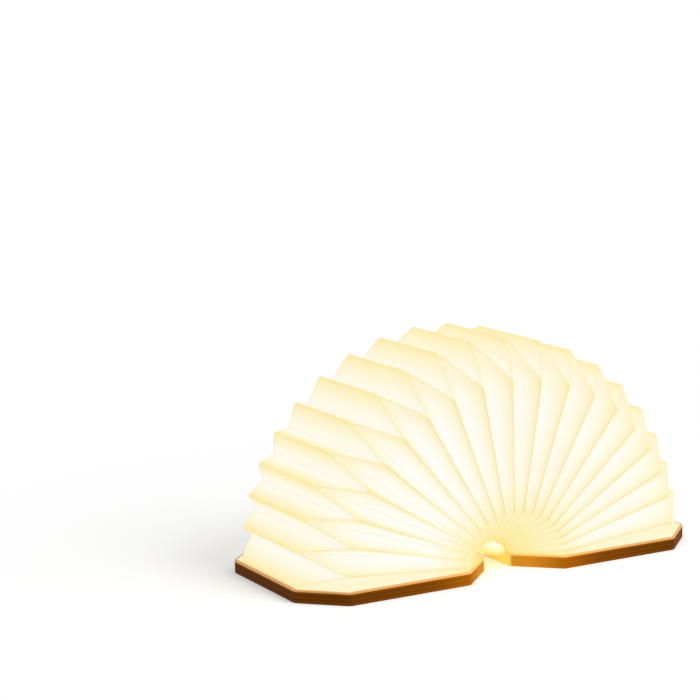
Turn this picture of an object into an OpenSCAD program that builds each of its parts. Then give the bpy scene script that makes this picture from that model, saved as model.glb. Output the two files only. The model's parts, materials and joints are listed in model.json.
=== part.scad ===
// Folding book lamp: two octagonal covers, a ring of pleats between them and a light bar in the spine.
// It is drawn open as a half fan, lying on its covers. Origin: floor, midway between the covers.
// X runs from cover to cover, Y along the spine, Z up. Sizes are in millimetres, angles in degrees.

/* [Covers] */
// Side of the square that each octagonal cover is cut from
cover_side = 155; // [130:1:200]
// Thickness of a finished cover
cover_t = 9.4; // [8.6:0.1:12]
// Length that each corner cut takes off a side
corner_cut = 29; // [22:1:34]
// Radius that softens the eight corners of a cover
corner_r = 5; // [1:0.5:6]
// Thickness of the walnut veneer on the outer face
veneer_t = 0.9; // [0.6:0.1:1.2]
// Thickness of the birch sheet on the inner face
face_t = 1.2; // [0.8:0.1:1.6]

/* [Folding] */
// Thickness of the closed lamp, over both covers
closed_t = 54; // [48:0.5:66]
// Angle of the first fold beside each cover, as drawn
end_fold = 9.4; // [8:0.1:11]
// How much wider the folds stand at the top of the fan than beside the covers
fan_bias = 0.2; // [0:0.05:0.3]
// Rise of the fold centres from the middle of the spine to its middle height
spine_hollow = 6.7; // [6:0.1:8]
// How far the covers reach below the middle height of the fold centres when closed
spine_reach = 2.5; // [0:0.5:4]

/* [Pleats] */
// Number of free pleats, half of them on each side of the spine
pleat_count = 18; // [14:2:22]
// Margin of cover left bare around the paper
paper_margin = 2.5; // [1.5:0.5:5]
// Depth of a pleat from its crest to its trough, along the paper
pleat_depth = 26.5; // [22:0.5:30]
// Thickness of the pleated paper
paper_t = 0.25; // [0.2:0.05:0.4]
// Gap between neighbouring pleats where their paper meets
crease_gap = 0.3; // [0.2:0.05:0.4]
// Thickness of the glue between a cover's sheet and the pleat that rises from it
glue_t = 0.05; // [0.02:0.01:0.1]
// Radius of the paper's corners at the crests
tip_r = 1.6; // [0.5:0.1:3]

/* [Light bar] */
// Radius of the half-round light bar
bar_r = 8.4; // [7.5:0.1:8.5]
// Straight length of the light bar between its domed ends
bar_len = 88; // [70:1:100]
// Height of the bar's crown above the nearest crests of the pleats, which it must not reach
bar_crown = -0.3; // [-1:0.1:-0.2]
// Wall of the diffuser
diffuser_t = 1.2; // [0.8:0.1:1.6]
// Height of the bar's base channel
channel_h = 2.8; // [2.4:0.1:3.4]
// Wall of the base channel
channel_t = 0.8; // [0.6:0.1:1]
// Thickness of the light board
light_board_t = 1; // [0.8:0.1:1.2]
// Number of light chips along the bar
chip_count = 12; // [6:1:16]

/* [Electronics] */
// Length, width and thickness of the pouch cell
cell_size = [62, 42, 5]; // [3:1:80]
// Thickness of the foam pad under the cell
pad_t = 0.4; // [0.3:0.1:0.8]
// Length, width and thickness of the control board
board_size = [46, 24, 1]; // [1:1:60]
// Wood left under the control board
board_floor = 2.6; // [2:0.1:3]
// Diameter of the board screws
screw_d = 2; // [1.6:0.1:2.5]
// Width, depth and height of the charging socket
socket_size = [8.9, 7.4, 3.2]; // [2:0.1:10]
// Width and thickness of the flat leads
lead_size = [6, 0.2]; // [0.2:0.1:8]
// Diameter and thickness of the holding magnets
magnet_size = [10, 3]; // [2:0.5:12]

/* [Clearances] */
// Clearance around what lies in a pocket
pocket_fit = 0.25; // [0.15:0.05:0.5]
// Clearance around a screw in its hole
screw_fit = 0.05; // [0.02:0.01:0.1]

/* [Hidden] */
$fn = 48;
left_side = -1;
right_side = 1;
// Angle between the inner faces of the covers as drawn, with both lying flat
open_angle = 180;
half_count = pleat_count / 2;
fold_count = pleat_count + 1;
middle = fold_count / 2;
half_side = cover_side / 2;
// Spacing of the pleats when the lamp is closed
pitch = (closed_t - 2 * cover_t) / fold_count;

// The angle of each fold: the two end folds are given, and the others share the rest
function fold_weight(k) = 1 + fan_bias * cos((k + 0.5 - middle) / middle * 90);
function sum_to(k, f = 1) = f > k ? 0 : fold_weight(f) + sum_to(k, f + 1);
inner_weight = sum_to(fold_count - 2);
function fold_angle(k) = (k == 0 || k == fold_count - 1)
  ? end_fold
  : (open_angle - 2 * end_fold) * fold_weight(k) / inner_weight;
middle_fold = fold_angle(half_count);

// A frame [angle, x, z] carries the closed position of one pleat to its drawn position.
// Pleats are numbered from the left cover, 0, to the pleat beside the middle, half_count.
function carry(f, p) = [
  p[0] * cos(f[0]) - p[1] * sin(f[0]) + f[1],
  p[0] * sin(f[0]) + p[1] * cos(f[0]) + f[2]
];
function turned(f, p, a) =
  let (at = carry(f, p), r = carry([f[0] + a, 0, 0], p))
  [f[0] + a, at[0] - r[0], at[1] - r[1]];

// Closed place of pleat i, and the fold centre k between pleats k and k + 1
function pleat_x(i) = -(middle - i) * pitch;
function centre_angle(k) = k >= half_count ? middle_fold / 4
  : middle_fold / 2 + inner_angle(k + 1) + fold_angle(k) / 2;
function inner_angle(k) = k >= half_count ? 0 : fold_angle(k) + inner_angle(k + 1);
function centre_x(k) = k >= half_count ? -pitch / 4 : pleat_x(k) + pitch / 2;
function centre(k) = [centre_x(k), -spine_hollow * cos(2 * centre_angle(k))];
function frame(i) = i >= half_count
  ? turned([0, 0, 0], centre(half_count), middle_fold / 2)
  : turned(frame(i + 1), centre(i), fold_angle(i));

// The covers lie flat as drawn, so their frame sets the floor and the gap at the spine
cover_frame = frame(0);
cover_edge = carry(cover_frame, [pleat_x(0), -spine_reach]);
lift = cover_t - cover_edge[1];
spine_gap = -cover_edge[0];

// Ends of the paper along a pleat, measured as the fold centres are
paper_low = paper_margin - spine_reach;
paper_high = cover_side - paper_margin - spine_reach;
paper_half = half_side - paper_margin;
crest_half = paper_half - pleat_depth;
// Half the spread of two pleats at the outer and the spine ends of their troughs
outer_spread = pitch / 2 + (paper_high - pleat_depth) * sin(open_angle / fold_count / 2);
inner_spread = pitch / 2 + (paper_low + pleat_depth) * sin(open_angle / fold_count / 2);
trough_high = paper_high - sqrt(pow(pleat_depth, 2) - pow(outer_spread, 2));
trough_low = paper_low + sqrt(pow(pleat_depth, 2) - pow(inner_spread, 2));
// Inset of the paper's inner surface from its outer one at each end
outer_wall = paper_t * pleat_depth / outer_spread;
inner_wall = paper_t * pleat_depth / inner_spread;
corner_steps = 3;
edge_steps = 6;

// Heights inside a cover, from its outer face
core_low = veneer_t;
core_high = cover_t - face_t;
cell_floor = core_high - cell_size[2] - pad_t - pocket_fit;
board_z = core_low + board_floor;
board_top = board_z + board_size[2];
// Places inside a cover: distance from the spine edge, then place along the spine
cell_at = [half_side, -12];
cell_corner_r = 2;
pad_rim = 4;
board_shift = 6;
board_at = [half_side + board_shift, half_side - board_size[1] / 2 - socket_size[1] / 2];
socket_at = [board_at[0], half_side - socket_size[1] / 2];
socket_wall = 0.35;
screw_edge = 3;
screw_shift = [board_size[0] / 2 - screw_edge, -6];
screw_grip = 2;
head_size = [1.8 * screw_d, 0.9];
lead_y = board_at[1] - board_size[1] / 2 + lead_size[0];
lead_start = 0.5;
lead_on_board = 1;
sensor_size = [3, 4, 1.5];
sensor_edge = 7;
sensor_at = [board_at[0] + board_size[0] / 2 - sensor_edge, board_at[1] + 5];
magnet_edge = 4;
magnet_at = [cover_side - magnet_size[0], half_side - corner_cut - magnet_edge];
// Small parts on the control board: place from its middle, then length and width
board_parts = [[-12, 0, 6, 6], [-2, -5, 4, 5], [6, 4, 7, 4], [-6, 6, 5, 3]];
board_part_h = 1.2;
// How far a cutting shape runs past what it cuts
past = 1;

// Heights in the light bar, from the centre of its half-round section up
bar_z = lift + bar_crown - bar_r;
bar_base = 0.3;
channel_z = bar_z + bar_base;
light_z = channel_z + channel_t + light_board_t;
chip_size = [3, 3, 0.8];
chip_end = 12;
light_end = 5;
tongue = 4;
tongue_root = 0.5;
lead_out = 0.3;
seat_gap = 0.1;

PLEATS = [for (i = [1 : pleat_count]) str("pleat_", i < 10 ? "0" : "", i)];

walnut = "#8a5f45";
birch = "#e2b77c";
plywood = "#c58a45";
paper = "#fff6dd";
plastic = "#f4f1e8";

// Outline of a rounded polygon: each corner of the list becomes a short arc
function unit(v) = v / norm(v);
function rounded(pts, r, steps = 4) = [
  for (i = [0 : len(pts) - 1])
    let (
      p = pts[i],
      a = unit(pts[(i + len(pts) - 1) % len(pts)] - p),
      b = unit(pts[(i + 1) % len(pts)] - p),
      half = acos(a * b) / 2,
      back = r / tan(half),
      mid = p + unit(a + b) * r / sin(half)
    )
    for (s = [0 : steps])
      let (q = p + a * back, e = p + b * back, w = slerp(q - mid, e - mid, s / steps))
      mid + w
];
function slerp(u, v, t) =
  let (g = acos(min(1, u * v / (norm(u) * norm(v)))))
  (u * sin((1 - t) * g) + v * sin(t * g)) / sin(g);

// Octagon of a square with its corners cut, its spine edge on x = low
function octagon(low, high, half, cut) = [
  [low + cut, -half], [high - cut, -half], [high, -half + cut], [high, half - cut],
  [high - cut, half], [low + cut, half], [low, half - cut], [low, -half + cut]
];

// Puts what is drawn on a flat cover, spine edge at x = 0 and outer face at z = 0, in its place
module on_cover(side) {
  if (side == left_side) mirror([1, 0, 0]) translate([spine_gap, 0, 0]) children();
  else translate([spine_gap, 0, 0]) children();
}

module cover_plate(low, high) {
  translate([0, 0, low]) linear_extrude(high - low)
    polygon(rounded(octagon(0, cover_side, half_side, corner_cut), corner_r));
}

module block(size, at, z) {
  translate([at[0] - size[0] / 2, at[1] - size[1] / 2, z]) cube(size);
}

// A pocket around a block of this size, open through the top of the core
module pocket(size, at, z) {
  room = [size[0] + 2 * pocket_fit, size[1] + 2 * pocket_fit, core_high - z + past];
  block(room, at, z);
}

module magnet_places() {
  for (v = [-1, 1]) translate([magnet_at[0], v * magnet_at[1], 0]) children();
}

module magnet_pockets() {
  magnet_places() translate([0, 0, core_low - past])
    cylinder(d = magnet_size[0] + 2 * pocket_fit, h = magnet_size[1] + pocket_fit + past);
}

module magnets(side) {
  color("silver") on_cover(side) magnet_places()
    translate([0, 0, core_low]) cylinder(d = magnet_size[0], h = magnet_size[1]);
}

module screw_places() {
  for (s = [-1, 1]) translate([board_at[0] + s * screw_shift[0], board_at[1] + screw_shift[1], 0])
    children();
}

module veneer(side) {
  color(walnut) on_cover(side) cover_plate(0, veneer_t);
}

module face_sheet(side) {
  color(birch) on_cover(side) cover_plate(core_high, cover_t);
}

module left_core() {
  cell_room = [cell_size[0], cell_size[1], cell_size[2] + pad_t];
  color(plywood) on_cover(left_side) difference() {
    cover_plate(core_low, core_high);
    pocket(cell_room, cell_at, cell_floor);
    pocket(board_size, board_at, board_z);
    translate([socket_at[0], half_side + past, board_top - pocket_fit])
      rotate([90, 0, 0]) linear_extrude(socket_size[1])
        socket_outline(socket_size[0] + 2 * pocket_fit, socket_size[2] + 2 * pocket_fit);
    translate([-past, lead_y - lead_size[0] / 2 - pocket_fit, core_high - lead_size[1] - pocket_fit])
      cube([board_at[0] - board_size[0] / 2 + 2 * past, lead_size[0] + 2 * pocket_fit, cover_t]);
    magnet_pockets();
    screw_places() translate([0, 0, board_z - screw_grip - screw_fit])
      cylinder(d = screw_d + 2 * screw_fit, h = cover_t);
  }
}

module right_core() {
  color(plywood) on_cover(right_side) difference() {
    cover_plate(core_low, core_high);
    translate([sensor_at[0], sensor_at[1], core_high - magnet_size[1] - pocket_fit])
      cylinder(d = magnet_size[0] + 2 * pocket_fit, h = cover_t);
    magnet_pockets();
  }
}

module battery_cell() {
  color("silver") on_cover(left_side) translate([cell_at[0], cell_at[1], cell_floor + pad_t])
    linear_extrude(cell_size[2]) polygon(rounded([
      [-cell_size[0] / 2, -cell_size[1] / 2], [cell_size[0] / 2, -cell_size[1] / 2],
      [cell_size[0] / 2, cell_size[1] / 2], [-cell_size[0] / 2, cell_size[1] / 2]
    ], cell_corner_r));
}

module battery_pad() {
  color("dimgray") on_cover(left_side)
    block([cell_size[0] - 2 * pad_rim, cell_size[1] - 2 * pad_rim, pad_t], cell_at, cell_floor);
}

module control_board() {
  color("seagreen") on_cover(left_side) {
    difference() {
      union() {
        block(board_size, board_at, board_z);
        for (c = board_parts)
          block([c[2], c[3], board_part_h + board_size[2]], board_at + [c[0], c[1]], board_z);
      }
      screw_places() translate([0, 0, board_z - past])
        cylinder(d = screw_d + 2 * screw_fit, h = board_size[2] + 2 * past);
    }
  }
}

module board_screws() {
  color("silver") on_cover(left_side) screw_places() {
    translate([0, 0, board_z - screw_grip]) cylinder(d = screw_d, h = board_size[2] + screw_grip);
    translate([0, 0, board_top]) cylinder(d = head_size[0], h = head_size[1]);
  }
}

module charging_socket() {
  color("lightgray") on_cover(left_side) translate([socket_at[0], half_side, board_top]) difference() {
    rotate([90, 0, 0]) linear_extrude(socket_size[1])
      socket_outline(socket_size[0], socket_size[2]);
    translate([0, past, socket_wall]) rotate([90, 0, 0]) linear_extrude(socket_size[1])
      socket_outline(socket_size[0] - 2 * socket_wall, socket_size[2] - 2 * socket_wall);
  }
}

// A rounded slot that stands on y = 0
module socket_outline(w, h) {
  r = h / 2;
  for (s = [-1, 1]) translate([s * (w / 2 - r), r]) circle(r);
  translate([-w / 2 + r, 0]) square([w - 2 * r, h]);
}

module cover_sensor() {
  color("#222222") on_cover(left_side) block(sensor_size, sensor_at, board_top);
}

module cover_lead() {
  end = board_at[0] - board_size[0] / 2 + lead_on_board;
  color("orange") on_cover(left_side)
    translate([lead_start, lead_y - lead_size[0] / 2, core_high - lead_size[1]])
      cube([end - lead_start, lead_size[0], lead_size[1]]);
}

module sensor_magnet() {
  color("silver") on_cover(right_side)
    translate([sensor_at[0], sensor_at[1], core_high - magnet_size[1]])
      cylinder(d = magnet_size[0], h = magnet_size[1]);
}

// Half-round section of the bar, from its flat underside up, with its wall at this inset
module bar_section(inset, low) {
  intersection() {
    translate([0, bar_z]) circle(bar_r - inset);
    translate([-bar_r, low]) square([2 * bar_r, bar_r]);
  }
}

module along_bar(len) {
  translate([0, len / 2, 0]) rotate([90, 0, 0]) linear_extrude(len) children();
}

module bar_channel() {
  slot = lead_size[1] + 2 * seat_gap;
  color("lightgray") difference() {
    along_bar(bar_len) intersection() {
      bar_section(0, channel_z);
      translate([-bar_r, channel_z]) square([2 * bar_r, channel_h]);
    }
    along_bar(bar_len + 2 * past) translate([-bar_r + diffuser_t + channel_t, channel_z + channel_t])
      square([2 * (bar_r - diffuser_t - channel_t), channel_h]);
    translate([-bar_r - past, -lead_size[0] / 2 - seat_gap, channel_z + channel_t - slot])
      cube([bar_r + past, lead_size[0] + 2 * seat_gap, slot]);
  }
}

module bar_diffuser() {
  color(plastic) along_bar(bar_len) difference() {
    bar_section(0, channel_z + channel_h);
    bar_section(diffuser_t, channel_z + channel_h - past);
  }
}

// A quarter-round dome that closes one end of the bar, with a tongue inside the diffuser
module bar_cap(end) {
  fit = diffuser_t + seat_gap;
  tongue_z = channel_z + channel_h + seat_gap;
  color(plastic) scale([1, end, 1]) {
    intersection() {
      translate([0, bar_len / 2, bar_z]) sphere(bar_r);
      translate([-bar_r, bar_len / 2, channel_z]) cube([2 * bar_r, bar_r, bar_r]);
    }
    translate([0, bar_len / 2 + tongue_root, 0]) rotate([90, 0, 0])
      linear_extrude(tongue + tongue_root)
        intersection() {
          bar_section(fit, tongue_z);
          translate([-bar_r, tongue_z]) square([2 * bar_r, bar_r]);
        }
  }
}

module light_board() {
  w = 2 * (bar_r - diffuser_t - channel_t) - 2 * seat_gap;
  color("white") translate([-w / 2, -bar_len / 2 + light_end, channel_z + channel_t])
    cube([w, bar_len - 2 * light_end, light_board_t]);
}

module light_chips() {
  step = (bar_len - 2 * chip_end) / (chip_count - 1);
  color("lightyellow") for (i = [0 : chip_count - 1])
    block(chip_size, [0, -bar_len / 2 + chip_end + i * step], light_z);
}

module bar_lead() {
  color("orange")
    translate([-bar_r - lead_out, -lead_size[0] / 2, channel_z + channel_t - lead_size[1] - seat_gap])
      cube([bar_r, lead_size[0], lead_size[1]]);
}

// A place on the trough of fold k, at closed height z, seen from the pleat on its cover side (+1)
// or from the pleat on its spine side (-1), in that pleat's own closed position
function trough(k, z, way) =
  let (
    c = centre(k),
    a = k >= half_count ? middle_fold / 2 : fold_angle(k) / 2,
    off = (k >= half_count ? pitch / 4 : 0) - crease_gap / 2,
    s = z - c[1]
  )
  [c[0] + way * (off * cos(a) + s * sin(a)), c[1] - off * sin(a) + s * cos(a)];

// Four corners of a loop of paper, spine end low, each turned into a short arc. The two edges that
// run out from the spine are split, because the paper between them and the next loop is twisted.
function loop_outline(low, high, half, inset_low, inset_high) = split_edges(rounded([
  [low + inset_low, -half + inset_low], [high - inset_high, -half + inset_high],
  [high - inset_high, half - inset_high], [low + inset_low, half - inset_low]
], tip_r, corner_steps));
function split_edges(pts) = [
  for (i = [0 : len(pts) - 1])
    let (splits = i % (2 * (corner_steps + 1)) == corner_steps)
    for (s = [0 : splits ? edge_steps - 1 : 0])
      splits ? pts[i] + (pts[i + 1] - pts[i]) * s / edge_steps : pts[i]
];
function crest_loop(i, wall) = [
  for (p = loop_outline(paper_low, paper_high, crest_half, wall * inner_wall, wall * outer_wall))
    [pleat_x(i), p[1], p[0]]
];
function trough_loop(k, way, wall) = [
  for (p = loop_outline(trough_low, trough_high, paper_half, wall * inner_wall, wall * outer_wall))
    let (q = trough(k, p[0], way)) [q[0], p[1], q[1]]
];

// A closed skin through loops of equally many points, the last joined to the first. The first half
// of the loops make one face of the paper and the rest the other, and both are cut into the same
// triangles, so that twisted paper keeps its thickness.
module ring_skin(loops) {
  n = len(loops[0]);
  m = len(loops);
  points = [for (l = loops) each l];
  faces = [
    for (j = [0 : m - 1], i = [0 : n - 1])
      let (
        a = j * n + i,
        b = j * n + (i + 1) % n,
        c = ((j + 1) % m) * n + (i + 1) % n,
        d = ((j + 1) % m) * n + i
      )
      each j < m / 2 ? [[a, b, c], [a, c, d]] : [[a, b, d], [b, c, d]]
  ];
  polyhedron(points, faces, convexity = 8);
}

// Carries a pleat of the left half from its closed to its drawn position
module unfolded(i) {
  f = frame(i);
  translate([f[1], 0, f[2] + lift]) rotate([0, -f[0], 0]) children();
}

module left_half_pleat(i) {
  unfolded(i) ring_skin([
    trough_loop(i - 1, -1, 0), crest_loop(i, 0), trough_loop(i, 1, 0),
    trough_loop(i, 1, 1), crest_loop(i, 1), trough_loop(i - 1, -1, 1)
  ]);
}

// Pleat i counts from the left cover; those of the right half mirror the left ones
module pleat(i) {
  color(paper) if (i <= half_count) left_half_pleat(i);
  else mirror([1, 0, 0]) left_half_pleat(pleat_count + 1 - i);
}

// The sheet glued to a cover, and the half pleat glued to it that rises to the first trough
module end_pleat(side) {
  sheet = octagon(paper_margin, cover_side - paper_margin, paper_half, pleat_depth);
  color(paper) {
    on_cover(side) translate([0, 0, cover_t]) linear_extrude(paper_t) polygon(rounded(sheet, tip_r));
    if (side == left_side) rising_half();
    else mirror([1, 0, 0]) rising_half();
  }
}

module rising_half() {
  root = [paper_t + glue_t, 0, 0];
  unfolded(0) ring_skin([
    [for (p = crest_loop(0, 0)) p + root], trough_loop(0, 1, 0),
    trough_loop(0, 1, 1), [for (p = crest_loop(0, 1)) p + root]
  ]);
}

veneer(left_side);  // left_veneer
left_core();
face_sheet(left_side);  // left_face
end_pleat(left_side);  // left_end_pleat
veneer(right_side);  // right_veneer
right_core();
face_sheet(right_side);  // right_face
end_pleat(right_side);  // right_end_pleat
battery_cell();
battery_pad();
control_board();
board_screws();
charging_socket();
cover_sensor();
cover_lead();
magnets(left_side);  // left_magnets
magnets(right_side);  // right_magnets
sensor_magnet();
bar_channel();
bar_diffuser();
bar_cap(-1);  // bar_cap_front
bar_cap(1);  // bar_cap_rear
light_board();
light_chips();
bar_lead();
for (i = [1 : pleat_count])
  pleat(i);
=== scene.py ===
import json
import math

import bpy
import numpy as np
from mathutils import Matrix, Vector

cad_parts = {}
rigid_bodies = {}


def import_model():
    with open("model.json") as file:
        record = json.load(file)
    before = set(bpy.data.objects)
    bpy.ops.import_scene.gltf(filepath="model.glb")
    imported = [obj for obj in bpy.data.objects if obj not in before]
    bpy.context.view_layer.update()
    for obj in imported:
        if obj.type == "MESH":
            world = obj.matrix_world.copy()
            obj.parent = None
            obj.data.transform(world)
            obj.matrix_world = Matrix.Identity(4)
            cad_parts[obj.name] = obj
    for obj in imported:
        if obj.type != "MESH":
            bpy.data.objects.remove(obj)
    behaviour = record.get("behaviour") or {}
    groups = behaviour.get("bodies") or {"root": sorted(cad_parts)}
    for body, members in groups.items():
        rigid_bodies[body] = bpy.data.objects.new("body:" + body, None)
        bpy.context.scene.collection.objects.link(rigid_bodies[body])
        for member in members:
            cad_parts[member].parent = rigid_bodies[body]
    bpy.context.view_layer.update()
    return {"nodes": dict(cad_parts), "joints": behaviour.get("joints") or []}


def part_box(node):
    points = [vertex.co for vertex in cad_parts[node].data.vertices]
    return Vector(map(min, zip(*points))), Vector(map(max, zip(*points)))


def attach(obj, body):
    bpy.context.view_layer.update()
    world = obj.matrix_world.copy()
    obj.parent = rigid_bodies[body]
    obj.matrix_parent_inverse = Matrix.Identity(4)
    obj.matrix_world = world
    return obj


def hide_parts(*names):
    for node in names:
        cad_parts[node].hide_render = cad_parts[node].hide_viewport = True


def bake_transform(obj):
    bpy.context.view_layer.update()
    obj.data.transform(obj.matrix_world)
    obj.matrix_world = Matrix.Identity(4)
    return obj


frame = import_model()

# Sides of the lamp, as signs along X, and the body in the spine that both halves hang on
LEFT = -1
RIGHT = 1
BAR = "light_bar"

# Sheet glued to a cover, in metres: its top above the cover's inner face, and its thickness
SHEET_LIFT = 0.0003
SHEET_THICKNESS = 0.9 * SHEET_LIFT
# Loops of paper, in metres: the radius at the corners of a crest and of a trough
CREST_RADIUS = 0.0085
TROUGH_RADIUS = 0.0025
# Rows that round a crest: share of the way to the trough, and metres from the pleat's plane
FOLD_ROUNDING = [(0.0, 0.0), (0.004, 0.0004), (0.014, 0.0007), (0.035, 0.00085)]
# Steps round a corner of a loop, along its front or back, and along its rim or spine
CORNER_STEPS = 6
LONG_STEPS = 6
SHORT_STEPS = 4
# Levels of subdivision of the finished strips
SMOOTHING = 2
# The painted shade of a cover's sheet: the tone it would have this far up towards a mountain
SHEET_SHADE_RIDGE = 0.75
# Half the width of the band across a fold in which the paper turns from one pleat to the next
CREASE_BAND = 0.0003
# How far from a plane a CAD vertex may lie and still be on it
PLANE_TOLERANCE = 1e-5

WHITE = (1.0, 1.0, 1.0)
BLACK = (0.0, 0.0, 0.0)

# Woods: the colour on the walnut's edges, painted dark amber like the plies as the lamp's dim golden
# light leaves them, which is painted shade and painted light, the number of plies and how far they
# wander, and the depth of each relief, in metres
EDGE_WOOD_PAINTED_SHADE = (0.15, 0.044, 0.002)
PLIES = 5
PLY_WANDER = 0.0003
WALNUT_RELIEF = 0.00006
PLY_RELIEF = 0.00004
BIRCH_RELIEF = 0.00003

# Painted light of the light bar on the wood, as a glow: its strength, how far it reaches from the
# bar's end, in metres, and its colours at these shares of that reach
WOOD_GLOW = 0.9
GLOW_REACH = 0.14
GLOW_STEPS = [0.13, 0.17, 0.34, 0.53, 1.0]
EDGE_GLOW = [(0.95, 0.72, 0.12), (0.95, 0.66, 0.09), (0.47, 0.26, 0.0), (0.14, 0.065, 0.0), BLACK]
FACE_GLOW = [(0.5, 0.36, 0.1), (0.5, 0.33, 0.08), (0.4, 0.19, 0.035), (0.25, 0.1, 0.015),
             (0.15, 0.057, 0.009)]
# What is left of it on the edges of a cover that don't face the bar
SIDE_SHARE = (0.62, 0.34, 0.15)

# Paper and frosted bar: the strength of the glow, how much of its tone is also the surface's own
# colour, and how cloudy it is
PAPER_GLOW = 0.93
PAPER_BODY = 0.07
PAPER_CLOUD = 0.6
FROSTED_GLOW = 0.9
FROSTED_BODY = 0.2
FROSTED_CLOUD = 0.08
# Depth of the paper's relief, and how far below the diffuser the bar's tone starts, in metres
PAPER_RELIEF = 0.00002
GOLDEN_DEPTH = 0.003
# Turn a distance from the spine's axis, or from a loop's corner, into a place on a colour ramp
REACH_SCALE = 6.0
CORNER_SCALE = 80.0
# Where the attribute edge puts a corner's diagonal crease, and how far from it its painted shade is seen
DIAGONAL = 0.5
DIAGONAL_SPREAD = 0.17
# How much of a mountain's line of painted shade shows at the rim and the spine
RIM_SHADE_LINE = 0.2

# Painted light of the bar on its base channel, as a glow, and the glow of the bar's light chips
CHANNEL_PAINTED_GLOW = 0.5
CHIP_GLOW = 2.0

# Camera, fitted to the corners of the covers and the tips of the pleats: degrees and metres,
# with its focal length and the frame's width in pixels and the sensor in millimetres
VIEW_AZIMUTH = -27.914
VIEW_ELEVATION = 9.976
VIEW_ROLL = -1.602
VIEW_DISTANCE = 1.7219
VIEW_TARGET = Vector((-0.0906, 0.0, 0.1644))
FOCAL_PIXELS = 2400
FRAME_PIXELS = 700
SENSOR = 36

# Studio: the floor, with the distances from the lamp at which it starts and ends its fade into
# the white backdrop, the light from all round, and the two soft lights, in metres and watts
FLOOR_SIZE = 8
FLOOR_NEAR = 0.22
FLOOR_FAR = 0.48
FLOOR_COLOUR = (0.86, 0.86, 0.86)
FLOOR_LIFT = (0.24, 0.24, 0.24)
FLOOR_SPECKLE = 0.01
AMBIENT = (0.55, 0.55, 0.55)
LIGHT_SIZE = 1.4
LIGHT_TARGET = Vector((0, 0, 0.05))
KEY_POSITION = Vector((0.9, -1.3, 1.6))
KEY_POWER = 27
FILL_POSITION = Vector((-1.4, -0.6, 1.0))
FILL_POWER = 3


# Node helpers
def new_material(name):
    mat = bpy.data.materials.new(name)
    mat.use_nodes = True
    return mat, mat.node_tree, mat.node_tree.nodes["Principled BSDF"]


def add_node(tree, kind, inputs=None, **settings):
    made = tree.nodes.new("ShaderNode" + kind)
    for key, value in settings.items():
        setattr(made, key, value)
    for key, value in (inputs or {}).items():
        if isinstance(value, bpy.types.NodeSocket):
            tree.links.new(value, made.inputs[key])
        else:
            made.inputs[key].default_value = value
    return made


def math_node(tree, operation, a, b=0.0, c=0.0):
    return add_node(tree, "Math", {0: a, 1: b, 2: c}, operation=operation).outputs[0]


def ramp(tree, factor, stops):
    made = add_node(tree, "ValToRGB", {"Fac": factor})
    points = made.color_ramp.elements
    while len(points) < len(stops):
        points.new(0.5)
    for point, (place, colour) in zip(points, stops):
        point.position = place
        point.color = (*colour, 1)
    return made.outputs["Color"]


def mix_colour(tree, factor, a, b, blend="MIX"):
    made = add_node(tree, "Mix", data_type="RGBA", blend_type=blend)
    for socket, value in zip((made.inputs[0], made.inputs[6], made.inputs[7]), (factor, a, b)):
        if isinstance(value, bpy.types.NodeSocket):
            tree.links.new(value, socket)
        else:
            socket.default_value = value if isinstance(value, float) else (*value, 1)
    return made.outputs[2]


def tinted(tree, colour, tint):
    return mix_colour(tree, 1.0, colour, tint, "MULTIPLY")


def noise(tree, scale, detail=4.0, rough=0.55, twist=0.0):
    where = add_node(tree, "TexCoord").outputs["Object"]
    stretched = add_node(tree, "Mapping", {"Vector": where, "Scale": scale}).outputs[0]
    made = add_node(tree, "TexNoise", {"Vector": stretched, "Scale": 1.0, "Detail": detail,
                                       "Roughness": rough, "Distortion": twist})
    return made.outputs["Fac"]


# The X, Y and Z of a point or of a normal, in the object's own space
def coordinates(tree, kind):
    where = add_node(tree, "TexCoord").outputs[kind]
    return add_node(tree, "SeparateXYZ", {"Vector": where}).outputs


def bump(tree, shader, height, distance):
    made = add_node(tree, "Bump", {"Height": height, "Distance": distance, "Strength": 1.0})
    tree.links.new(made.outputs[0], shader.inputs["Normal"])


def set_surface(tree, shader, colour, roughness, specular=0.5, metallic=0.0):
    tree.links.new(colour, shader.inputs["Base Color"])
    shader.inputs["Roughness"].default_value = roughness
    shader.inputs["Specular IOR Level"].default_value = specular
    shader.inputs["Metallic"].default_value = metallic


def set_glow(tree, shader, colour, strength):
    tree.links.new(colour, shader.inputs["Emission Color"])
    shader.inputs["Emission Strength"].default_value = strength


# Painted light: the glow of the light bar on the wood round its two ends
def bar_glow(tree, colours):
    where = coordinates(tree, "Object")
    bar_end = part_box("bar_cap_rear")[1].y
    beyond = math_node(tree, "SUBTRACT", math_node(tree, "ABSOLUTE", where["Y"]), bar_end)
    squares = (math_node(tree, "POWER", length, 2.0) for length in (where["X"], beyond))
    away = math_node(tree, "SQRT", math_node(tree, "ADD", *squares))
    return ramp(tree, math_node(tree, "DIVIDE", away, GLOW_REACH), list(zip(GLOW_STEPS, colours)))


# The same on a cover's edge: whole on the side that faces the bar, and none on the outer face
def edge_glow(tree):
    normal = coordinates(tree, "Normal")
    facing = math_node(tree, "ABSOLUTE", normal["X"])
    share = ramp(tree, facing, [(0.75, SIDE_SHARE), (0.95, WHITE)])
    flatness = math_node(tree, "ABSOLUTE", normal["Z"])
    on_edge = ramp(tree, flatness, [(0.5, WHITE), (0.9, BLACK)])
    return tinted(tree, tinted(tree, bar_glow(tree, EDGE_GLOW), share), on_edge)


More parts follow.
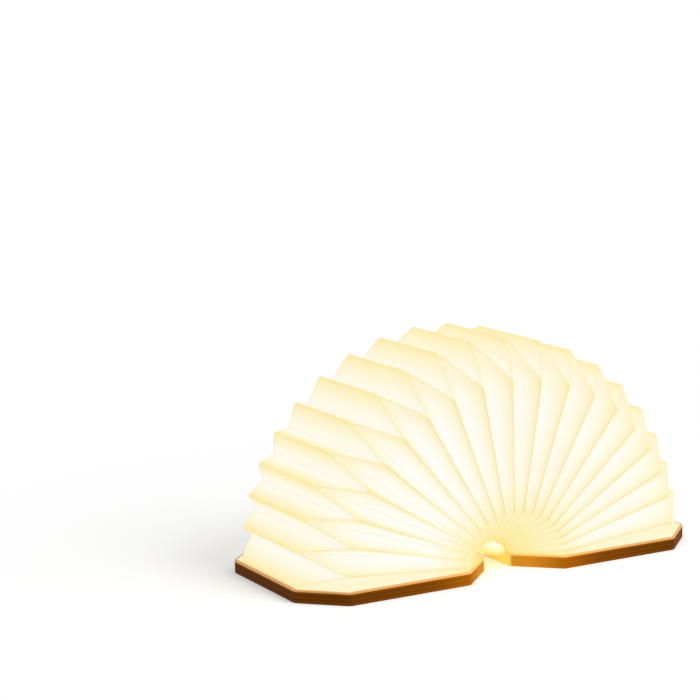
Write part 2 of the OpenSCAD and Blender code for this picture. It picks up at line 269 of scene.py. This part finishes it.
# Woods, all with their grain along X
def walnut():
    mat, tree, shader = new_material("walnut")
    figure = noise(tree, (3.5, 48, 48), detail=2.5, rough=0.5, twist=0.5)
    streaks = noise(tree, (24, 620, 620), detail=5.0, rough=0.65, twist=0.4)
    pores = noise(tree, (75, 1500, 1500), detail=2.0)
    base = ramp(tree, figure, [(0.36, (0.27, 0.087, 0.024)), (0.45, (0.47, 0.167, 0.052)),
                               (0.54, (0.63, 0.250, 0.090)), (0.63, (0.92, 0.450, 0.190))])
    lines = ramp(tree, streaks, [(0.36, (0.30, 0.22, 0.17)), (0.47, (0.90, 0.86, 0.84)), (0.60, WHITE)])
    dots = ramp(tree, pores, [(0.37, (0.26, 0.18, 0.14)), (0.43, WHITE)])
    face = tinted(tree, tinted(tree, base, lines), dots)
    flatness = math_node(tree, "ABSOLUTE", coordinates(tree, "Normal")["Z"])
    # The walnut's edges take the painted shade and painted golden light of the plies
    wood = mix_colour(tree, flatness, EDGE_WOOD_PAINTED_SHADE, face)
    set_surface(tree, shader, wood, roughness=0.55, specular=0.08)
    bump(tree, shader, math_node(tree, "ADD", streaks, pores), WALNUT_RELIEF)
    set_glow(tree, shader, edge_glow(tree), WOOD_GLOW)
    return mat


def plywood():
    mat, tree, shader = new_material("plywood")
    low, high = (corner.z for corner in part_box("left_core"))
    wander = math_node(tree, "MULTIPLY", noise(tree, (40, 40, 40), detail=2.0), PLY_WANDER)
    height = math_node(tree, "ADD", coordinates(tree, "Object")["Z"], wander)
    level = math_node(tree, "DIVIDE", math_node(tree, "SUBTRACT", height, low), (high - low) / PLIES)
    across = math_node(tree, "MODULO", math_node(tree, "FLOOR", level), 2.0)
    within = math_node(tree, "FRACT", level)
    # The plies' grain, painted dark and amber: pale birch as the lamp's dim golden light leaves it, which
    # is painted shade and painted light
    long_grain_painted_shade = ramp(tree, noise(tree, (30, 30, 900)),
                      [(0.3, (0.15, 0.043, 0.0012)), (0.7, (0.19, 0.056, 0.002))])
    end_grain_painted_shade = ramp(tree, noise(tree, (900, 900, 900)),
                     [(0.35, (0.10, 0.029, 0.001)), (0.65, (0.14, 0.040, 0.001))])
    glue = ramp(tree, within, [(0.0, (0.7, 0.65, 0.6)), (0.12, WHITE)])
    wood = tinted(tree, mix_colour(tree, across, long_grain_painted_shade, end_grain_painted_shade), glue)
    set_surface(tree, shader, wood, roughness=0.6, specular=0.03)
    bump(tree, shader, within, PLY_RELIEF)
    set_glow(tree, shader, edge_glow(tree), WOOD_GLOW)
    return mat


def birch():
    mat, tree, shader = new_material("birch")
    grain = noise(tree, (14, 420, 420), detail=5.0)
    wood = ramp(tree, grain, [(0.3, (0.58, 0.27, 0.06)), (0.7, (0.68, 0.33, 0.08))])
    set_surface(tree, shader, wood, roughness=0.45)
    bump(tree, shader, grain, BIRCH_RELIEF)
    set_glow(tree, shader, bar_glow(tree, FACE_GLOW), WOOD_GLOW)
    return mat


# Painted light and shade of the lit paper, without the painted shade along the lines of its folds.
# A point of the paper has a ridge, 1 at a mountain and 0 at a valley, an edge, 1 at the front or
# back and 0 at the rim or spine, and its distances from the spine's axis, here along, and from the
# nearest corner of its loop
def paper_glow_and_painted_shade(tree, ridge, edge, along, corner):
    # Painted shade: creamy to golden towards the mountains, on the rim and spine and on the front and back
    rim = ramp(tree, ridge, [(0.08, (1.0, 0.985, 0.90)), (0.35, (1.0, 0.98, 0.86)),
                             (0.6, (1.0, 0.955, 0.74)), (0.8, (1.0, 0.925, 0.62)),
                             (0.93, (1.0, 0.89, 0.53)), (1.0, (1.0, 0.86, 0.47))])
    front = ramp(tree, ridge, [(0.0, (1.0, 0.97, 0.84)), (0.1, (1.0, 0.99, 0.93)),
                               (0.35, (1.0, 0.99, 0.93)), (0.6, (1.0, 0.975, 0.84)),
                               (0.8, (1.0, 0.95, 0.72)), (1.0, (1.0, 0.89, 0.54))])
    # Painted shade: a little creamier at the far end of the front and back
    painted_front_end_shade = ramp(tree, along, [(0.7, WHITE), (0.9, (1.0, 0.98, 0.88))])
    tone = mix_colour(tree, edge, rim, tinted(tree, front, painted_front_end_shade))
    # Painted shade: a little creamier near the corners of a loop
    painted_corner_shade = ramp(tree, math_node(tree, "MULTIPLY", corner, CORNER_SCALE),
                       [(0.0, (1.0, 0.97, 0.88)), (0.3, (1.0, 0.99, 0.96)), (0.9, WHITE)])
    # Painted light of the bar: golden near the spine, white further out, with a little painted shade at
    # the far end
    painted_glow_by_reach = ramp(tree, along, [(0.06, (1.0, 0.87, 0.40)), (0.2, (1.0, 0.93, 0.60)),
                                    (0.4, WHITE), (0.8, WHITE), (0.92, (1.0, 0.985, 0.93))])
    return tinted(tree, tinted(tree, tone, painted_corner_shade), painted_glow_by_reach)


# How much painted shade shows as a line along a fold: along the mountains, mostly at the front and
# back, and along the diagonal creases at the corners
def painted_fold_shade(tree, ridge, edge):
    mountain = ramp(tree, ridge, [(0.92, BLACK), (0.985, (0.75, 0.75, 0.75))])
    shown = math_node(tree, "MULTIPLY_ADD", edge, 1 - RIM_SHADE_LINE, RIM_SHADE_LINE)
    mountain = math_node(tree, "MULTIPLY", mountain, shown)
    off_diagonal = math_node(tree, "ABSOLUTE", math_node(tree, "SUBTRACT", edge, DIAGONAL))
    diagonal = ramp(tree, off_diagonal, [(0.0, (0.95, 0.95, 0.95)), (DIAGONAL_SPREAD, BLACK)])
    return math_node(tree, "MAXIMUM", mountain, diagonal)


# Paper that glows, with its shade painted into the glow: whitest low in its pleats, creamy along the
# outer folds as painted shade and golden round the spine as painted light of the bar
def glowing_paper():
    mat, tree, shader = new_material("paper")
    ridge, edge, reach, corner = (add_node(tree, "Attribute", attribute_name=name).outputs["Fac"]
                                  for name in ("ridge", "edge", "reach", "corner"))
    along = math_node(tree, "MULTIPLY", reach, REACH_SCALE)
    fibres = noise(tree, (1400, 1400, 1400), detail=3.0)
    cloud = noise(tree, (24, 24, 24), detail=2.0)
    mottle = ramp(tree, mix_colour(tree, PAPER_CLOUD, fibres, cloud),
                  [(0.3, (0.995, 0.99, 0.965)), (0.65, WHITE)])
    # Colour of the painted shade along the folds, golden near the spine
    fold_shade_colour = ramp(tree, along, [(0.12, (0.95, 0.80, 0.35)), (0.22, (0.82, 0.70, 0.30)),
                              (0.4, (0.97, 0.80, 0.42))])
    tone = tinted(tree, paper_glow_and_painted_shade(tree, ridge, edge, along, corner), mottle)
    # Painted shade along the folds, laid over the paper's painted light and shade
    tone = mix_colour(tree, painted_fold_shade(tree, ridge, edge), tone, fold_shade_colour)
    body = tinted(tree, tone, (PAPER_BODY, PAPER_BODY, PAPER_BODY))
    set_surface(tree, shader, body, roughness=0.9, specular=0.03)
    set_glow(tree, shader, tone, PAPER_GLOW)
    bump(tree, shader, fibres, PAPER_RELIEF)
    return mat


# A plain finish with a little procedural mottling
def finish_material(name, colour, roughness, metallic=0.0, mottle=0.08, scale=300.0, glow=0.0):
    mat, tree, shader = new_material(name)
    patch = noise(tree, (scale, scale, scale), detail=3.0)
    darker = tuple(c * (1 - mottle) for c in colour)
    lighter = tuple(min(1.0, c * (1 + mottle)) for c in colour)
    tone = ramp(tree, patch, [(0.3, darker), (0.7, lighter)])
    set_surface(tree, shader, tone, roughness, metallic=metallic)
    if glow:
        set_glow(tree, shader, tone, glow)
    return mat


# Frosted cover of the light bar, golden low down and nearly white on top
def frosted():
    mat, tree, shader = new_material("frosted")
    low, high = (corner.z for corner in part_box("bar_diffuser"))
    height = math_node(tree, "SUBTRACT", coordinates(tree, "Object")["Z"], low - GOLDEN_DEPTH)
    level = math_node(tree, "DIVIDE", height, high - low + GOLDEN_DEPTH)
    cloudy = math_node(tree, "MULTIPLY", noise(tree, (500, 500, 500)), FROSTED_CLOUD)
    tone = ramp(tree, math_node(tree, "ADD", level, cloudy),
                [(0.0, (1.0, 0.55, 0.08)), (0.45, (1.0, 0.80, 0.30)), (0.9, (1.0, 0.95, 0.70))])
    body = tinted(tree, tone, (FROSTED_BODY, FROSTED_BODY, FROSTED_BODY))
    set_surface(tree, shader, body, roughness=0.5)
    set_glow(tree, shader, tone, FROSTED_GLOW)
    return mat


def paint(material, *nodes):
    for node in nodes:
        for slot in frame["nodes"][node].material_slots:
            slot.material = material


def paint_frame():
    paint(walnut(), "left_veneer", "right_veneer")
    paint(plywood(), "left_core", "right_core")
    paint(birch(), "left_face", "right_face")
    paint(frosted(), "bar_diffuser", "bar_cap_front", "bar_cap_rear")
    # The bar's base channel: its golden tint and its glow are painted light of the bar
    paint(finish_material("bar_base", (0.90, 0.76, 0.48), 0.5, glow=CHANNEL_PAINTED_GLOW), "bar_channel")
    paint(finish_material("light_board", (0.9, 0.9, 0.86), 0.5), "light_board")
    paint(finish_material("light_chip", (1.0, 0.82, 0.4), 0.3, glow=CHIP_GLOW), "light_chips")
    paint(finish_material("cell_foil", (0.72, 0.72, 0.74), 0.3, metallic=1.0), "battery_cell")
    paint(finish_material("foam", (0.05, 0.05, 0.05), 0.9, mottle=0.4, scale=2500.0), "battery_pad")
    paint(finish_material("board_green", (0.03, 0.2, 0.08), 0.4, mottle=0.3, scale=700.0), "control_board")
    steel = finish_material("steel", (0.62, 0.62, 0.64), 0.3, metallic=1.0)
    paint(steel, "board_screws", "left_magnets", "right_magnets", "sensor_magnet", "charging_socket")
    paint(finish_material("sensor_black", (0.03, 0.03, 0.03), 0.5, mottle=0.3), "cover_sensor")
    paint(finish_material("lead_film", (0.55, 0.26, 0.05), 0.35), "cover_lead", "bar_lead")


# The chain of folds from the light bar out to one cover, read from the frame's joints
def folds(side):
    found = []
    body = BAR
    angle = 0.0
    while True:
        nexts = [j for j in frame["joints"] if j["parent"] == body and j["axis"][1] * side > 0]
        if not nexts:
            return found
        joint = nexts[0]
        turn = math.radians(joint["range_deg"][1])
        found.append({"pivot": Vector(joint["pos_m"]), "parent": body, "child": joint["child"],
                      "before": angle, "turn": turn, "after": angle + turn})
        body = joint["child"]
        angle += turn


# The ways outward along a pleat that leans at an angle, and onward from it towards its cover
def directions(side, angle):
    outward = Vector((side * math.sin(angle), 0, math.cos(angle)))
    onward = Vector((side * math.cos(angle), 0, -math.sin(angle)))
    return outward, onward


# The loop of paper that a CAD pleat has on a plane: its lowest and highest reach and half its
# width. The plane is the one through the origin, give or take the band, or without a band the
# one through the vertex that reaches furthest
def pleat_loop(node, origin, outward, onward, band=None):
    mesh = frame["nodes"][node].data
    points = np.array([v.co for v in mesh.vertices], float) - np.array(origin)
    reach = points @ np.array(outward)
    ahead = points @ np.array(onward)
    level = ahead[reach.argmax()] if band is None else 0.0
    on = abs(ahead - level) < (band or PLANE_TOLERANCE)
    return {"origin": Vector(origin) + onward * level, "outward": outward,
            "low": reach[on].min(), "high": reach[on].max(), "half": points[on][:, 1].max()}


# Points round a loop of paper with arcs at its corners, each with how much it lies on the front
# or back, and its distance from the nearest corner
def loop_points(loop, radius):
    low, high, half = loop["low"], loop["high"], loop["half"]
    corners = [(low, -half, 180), (high, -half, 270), (high, half, 0), (low, half, 90)]

    def on_corner(corner, degrees):
        x, y, start = corner
        centre = Vector((x + (radius if x == low else -radius), y + (radius if y < 0 else -radius)))
        turn = math.radians(start + degrees)
        return centre + radius * Vector((math.cos(turn), math.sin(turn)))

    points = []
    for n, corner in enumerate(corners):
        to_long_side = n % 2 == 0
        for s in range(CORNER_STEPS + 1):
            share = s / CORNER_STEPS
            edge = share if to_long_side else 1 - share
            points.append((on_corner(corner, 90 * s / CORNER_STEPS), edge, 0.0))
        first = points[-1][0]
        last = on_corner(corners[(n + 1) % 4], 0)
        steps = LONG_STEPS if to_long_side else SHORT_STEPS
        for s in range(1, steps):
            away = min(s, steps - s) / steps * (last - first).length
            points.append((first.lerp(last, s / steps), 1.0 if to_long_side else 0.0, away))
    return [(loop["origin"] + loop["outward"] * p.x + Vector((0, p.y, 0)), edge, away)
            for p, edge, away in points]


# Rows of a strip that leave a crest in a round towards the trough
def crest_rows(crest, trough, onward):
    rows = []
    for share, rise in FOLD_ROUNDING:
        row = []
        for top, bottom in zip(crest, trough):
            step = (bottom[0] - top[0]) * share
            row.append(top[0] + step + onward * (rise - step.dot(onward)))
        rows.append((share, row))
    return rows


# A piece of the shade from its points and faces, facing outward, with values for each point
def paper_piece(name, points, faces, values, material):
    mesh = bpy.data.meshes.new(name)
    mesh.from_pydata(points, [], faces)
    middle = sum(points, Vector()) / len(points)
    if sum(f.normal.dot(f.center - middle) for f in mesh.polygons) < 0:
        mesh.flip_normals()
    for attribute, numbers in values.items():
        mesh.attributes.new(attribute, "FLOAT", "POINT").data.foreach_set("value", numbers)
    mesh.materials.append(material)
    piece = bpy.data.objects.new(name, mesh)
    bpy.context.scene.collection.objects.link(piece)
    return piece


# A strip of pleated paper from one loop to the next, each given as (loop, way on from its pleat's
# plane), where a trough has no such way
def paper_strip(name, loops, material):
    rings = [loop_points(loop, CREST_RADIUS if onward else TROUGH_RADIUS) for loop, onward in loops]
    count = len(rings[0])
    trough = next(n for n, (loop, onward) in enumerate(loops) if onward is None)
    rows = []
    for n, (loop, onward) in enumerate(loops):
        if n == trough:
            rows.append((1.0, [point[0] for point in rings[n]]))
        else:
            rounded = crest_rows(rings[n], rings[trough], onward)
            rows += rounded if n < trough else rounded[::-1]
    points = [p for share, row in rows for p in row]
    faces = []
    for j in range(len(rows) - 1):
        for i in range(count):
            k = (i + 1) % count
            faces.append((j * count + i, j * count + k, (j + 1) * count + k, (j + 1) * count + i))
    shares = [share for share, row in rows for n in range(count)]
    around = rings[trough] * len(rows)
    values = {"edge": [edge for p, edge, away in around],
              "corner": [away for p, edge, away in around],
              "reach": [math.hypot(p.x, p.z) for p in points],
              "ridge": [(1 - edge) * (1 - share) + edge * share
                        for (p, edge, away), share in zip(around, shares)]}
    piece = paper_piece(name, points, faces, values, material)
    piece.data.shade_smooth()
    finer = piece.modifiers.new("finer", "SUBSURF")
    finer.subdivision_type = "SIMPLE"
    finer.levels = SMOOTHING
    finer.render_levels = SMOOTHING
    return piece


# The octagonal sheet glued to a cover
def cover_sheet(word, cover, half, material):
    low, high = cover["low"], cover["high"]
    cut = half - cover["half"]
    side = cover["outward"].x
    corners = [(low + cut, -half), (high - cut, -half), (high, -half + cut), (high, half - cut),
               (high - cut, half), (low + cut, half), (low, half - cut), (low, -half + cut)]
    top = cover["origin"].z
    points = [Vector((side * x, y, z)) for z in (top, top - SHEET_THICKNESS) for x, y in corners]
    n = len(corners)
    faces = [tuple(range(n)), tuple(reversed(range(n, 2 * n)))]
    faces += [(i, i + n, (i + 1) % n + n, (i + 1) % n) for i in range(n)]
    values = {"edge": [0.0 for p in points], "corner": [half for p in points],
              "reach": [abs(p.x) for p in points], "ridge": [SHEET_SHADE_RIDGE for p in points]}
    sheet = paper_piece("sheet_" + word, points, faces, values, material)
    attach(sheet, word + "_cover")


# The pleats from the middle of the shade out to one cover, with that cover's sheet
def half_shade(side, word, paper):
    chain = folds(side)
    first = chain[0]
    crests = [pleat_loop(fold["child"], fold["pivot"], *directions(side, fold["after"]))
              for fold in chain[:-1]]
    sheet_low, sheet_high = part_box(word + "_end_pleat")
    low, high = sorted((abs(sheet_low.x), abs(sheet_high.x)))
    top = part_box(word + "_face")[1].z + SHEET_LIFT
    cover = {"origin": Vector((0, 0, top)), "outward": Vector((side, 0, 0)), "low": low,
             "high": high, "half": crests[0]["half"]}
    # The middle trough stands on the plane that both halves share
    up, across = directions(side, 0.0)
    middle = pleat_loop(first["child"], (0, 0, 0), up, across, CREASE_BAND)
    loops = [(middle, None), (crests[0], -directions(side, first["after"])[1])]
    piece = paper_strip("paper_%s_00" % word, loops, paper)
    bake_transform(piece)
    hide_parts(first["child"])
    for n, fold in enumerate(chain[1:], 1):
        outward, onward = directions(side, fold["before"] + fold["turn"] / 2)
        trough = pleat_loop(fold["parent"], fold["pivot"], outward, onward, CREASE_BAND)
        is_last = fold is chain[-1]
        loops = [(crests[n - 1], directions(side, fold["before"])[1]), (trough, None),
                 (cover if is_last else crests[n], -directions(side, fold["after"])[1])]
        piece = paper_strip("paper_%s_%02d" % (word, n), loops, paper)
        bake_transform(piece)
        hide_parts(word + "_end_pleat" if is_last else fold["child"])
    cover_sheet(word, cover, sheet_high.y, paper)


# One for a ray that shows the backdrop itself, and zero for one that only carries its light
def seen_directly(tree):
    rays = add_node(tree, "LightPath").outputs
    either = math_node(tree, "MAXIMUM", rays["Is Camera Ray"], rays["Is Glossy Ray"])
    return math_node(tree, "MAXIMUM", either, rays["Is Transmission Ray"])


# The floor: it takes the lamp's shadow near the lamp and fades into the white backdrop further out
def floor():
    bpy.ops.mesh.primitive_plane_add(size=FLOOR_SIZE, location=(0, 0, 0))
    plane = bpy.context.object
    plane.name = "floor"
    mat, tree, shader = new_material("floor")
    where = add_node(tree, "TexCoord").outputs["Object"]
    away = add_node(tree, "VectorMath", {0: where}, operation="LENGTH").outputs["Value"]
    speckle = math_node(tree, "MULTIPLY", noise(tree, (60, 60, 60)), FLOOR_SPECKLE)
    far = ramp(tree, math_node(tree, "ADD", away, speckle), [(FLOOR_NEAR, BLACK), (FLOOR_FAR, WHITE)])
    set_surface(tree, shader, mix_colour(tree, far, FLOOR_COLOUR, BLACK), roughness=0.9, specular=0.0)
    tree.links.new(mix_colour(tree, far, FLOOR_LIFT, WHITE), shader.inputs["Emission Color"])
    tree.links.new(seen_directly(tree), shader.inputs["Emission Strength"])
    plane.data.materials.append(mat)


def world():
    made = bpy.data.worlds.new("studio")
    bpy.context.scene.world = made
    made.use_nodes = True
    tree = made.node_tree
    shown = mix_colour(tree, seen_directly(tree), AMBIENT, WHITE)
    tree.links.new(shown, tree.nodes["Background"].inputs["Color"])


def soft_light(name, position, power):
    lamp = bpy.data.lights.new(name, "AREA")
    lamp.shape = "SQUARE"
    lamp.size = LIGHT_SIZE
    lamp.energy = power
    made = bpy.data.objects.new(name, lamp)
    bpy.context.scene.collection.objects.link(made)
    made.location = position
    made.rotation_mode = "QUATERNION"
    made.rotation_quaternion = (position - LIGHT_TARGET).to_track_quat("Z", "Y")


def camera():
    azimuth = math.radians(VIEW_AZIMUTH)
    elevation = math.radians(VIEW_ELEVATION)
    back = Vector((math.sin(azimuth) * math.cos(elevation), -math.cos(azimuth) * math.cos(elevation),
                   math.sin(elevation)))
    right = (-back).cross(Vector((0, 0, 1))).normalized()
    up = right.cross(-back)
    level = Matrix((right, up, back)).transposed()
    turned = level @ Matrix.Rotation(math.radians(VIEW_ROLL), 3, "Z")
    data = bpy.data.cameras.new("camera")
    data.sensor_width = SENSOR
    data.lens = SENSOR * FOCAL_PIXELS / FRAME_PIXELS
    made = bpy.data.objects.new("camera", data)
    bpy.context.scene.collection.objects.link(made)
    made.matrix_world = Matrix.Translation(VIEW_TARGET + back * VIEW_DISTANCE) @ turned.to_4x4()
    bpy.context.scene.camera = made


paint_frame()
shade_paper = glowing_paper()
half_shade(LEFT, "left", shade_paper)
half_shade(RIGHT, "right", shade_paper)
floor()
world()
soft_light("key", KEY_POSITION, KEY_POWER)
soft_light("fill", FILL_POSITION, FILL_POWER)
camera()
bpy.context.scene.view_settings.view_transform = "Standard"
